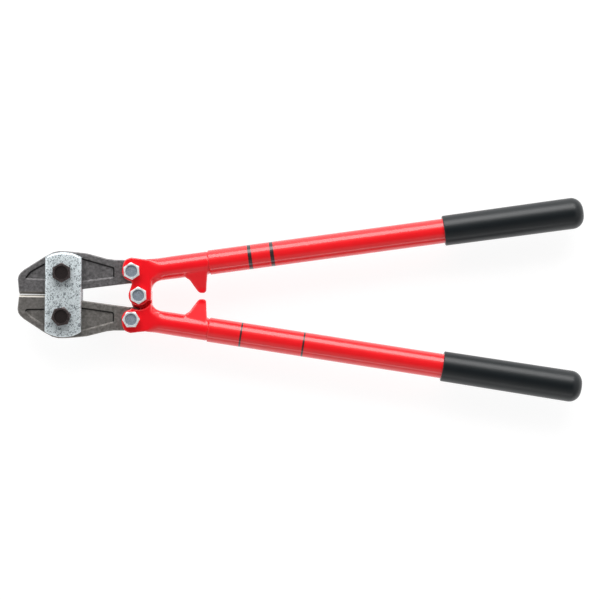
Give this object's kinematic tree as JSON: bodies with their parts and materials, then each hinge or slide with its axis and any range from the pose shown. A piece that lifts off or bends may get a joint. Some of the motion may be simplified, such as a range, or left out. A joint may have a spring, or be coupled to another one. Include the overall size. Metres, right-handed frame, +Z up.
{
  "type": "bolt cutters",
  "caption": "Hand bolt cutters: forged centre-cut jaws on link plates, lapped socket forgings on a centre pivot, and long red tube handles with black grips.",
  "frame": {"origin": "foot of the centre pivot's axis, on the plane that the rear bolt ends stand on", "axes": "+X from the pivot towards the handles, +Y across the tool towards the upper handle, +Z up, along the bolts towards their heads"},
  "size_m": [0.4573, 0.165, 0.0372],
  "materials": {
    "forged_steel_dark": "forged, dark, satin",
    "forged_steel_light": "forged, dark, satin",
    "zinc_plate": "zinc plated, mottled",
    "black_bolt": "black oxide",
    "zinc_bolt": "bright zinc plated",
    "red_socket_paint": "gloss paint on a forging",
    "red_tube_paint": "gloss paint on drawn tube",
    "black_grip": "soft vinyl, satin"
  },
  "bodies": {
    "link_plates": {"front_link_plate": "zinc_plate", "rear_link_plate": "zinc_plate", "upper_plate_bolt": "black_bolt", "lower_plate_bolt": "black_bolt", "upper_plate_washer": "black_bolt", "lower_plate_washer": "black_bolt", "upper_plate_nut": "black_bolt", "lower_plate_nut": "black_bolt"},
    "upper_jaw": {"upper_jaw": "forged_steel_dark"},
    "lower_jaw": {"lower_jaw": "forged_steel_light"},
    "upper_handle": {"upper_socket": "red_socket_paint", "upper_tube": "red_tube_paint", "upper_grip": "black_grip", "upper_jaw_bolt": "zinc_bolt", "upper_jaw_washer": "zinc_bolt", "upper_jaw_nut": "zinc_bolt", "centre_bolt": "zinc_bolt", "centre_washer": "zinc_bolt", "centre_nut": "zinc_bolt"},
    "lower_handle": {"lower_socket": "red_socket_paint", "lower_tube": "red_tube_paint", "lower_grip": "black_grip", "lower_jaw_bolt": "zinc_bolt", "lower_jaw_washer": "zinc_bolt", "lower_jaw_nut": "zinc_bolt"}
  },
  "joints": [
    {"name": "upper_jaw_pivot", "type": "hinge", "parent": "link_plates", "child": "upper_jaw", "pos_m": [-0.06209, 0.01765, 0.02145], "axis": [0, 0, 1], "range_deg": [-7.1, 0.5]},
    {"name": "upper_handle_pivot", "type": "hinge", "parent": "upper_jaw", "child": "upper_handle", "pos_m": [-0.00577, 0.01946, 0.02145], "axis": [0, 0, 1], "range_deg": [-3, 45]},
    {"name": "lower_jaw_pivot", "type": "hinge", "parent": "link_plates", "child": "lower_jaw", "pos_m": [-0.06209, -0.01765, 0.02145], "axis": [0, 0, 1], "range_deg": [-0.5, 7.1]},
    {"name": "lower_handle_pivot", "type": "hinge", "parent": "lower_jaw", "child": "lower_handle", "pos_m": [-0.00577, -0.01946, 0.02145], "axis": [0, 0, 1], "range_deg": [-45, 3]}
  ],
  "couplings": [
    {"joint": "upper_jaw_pivot", "follows": "upper_handle_pivot", "ratio": -0.1575},
    {"joint": "lower_jaw_pivot", "follows": "upper_handle_pivot", "ratio": 0.1575},
    {"joint": "lower_handle_pivot", "follows": "upper_handle_pivot", "ratio": -1}
  ]
}
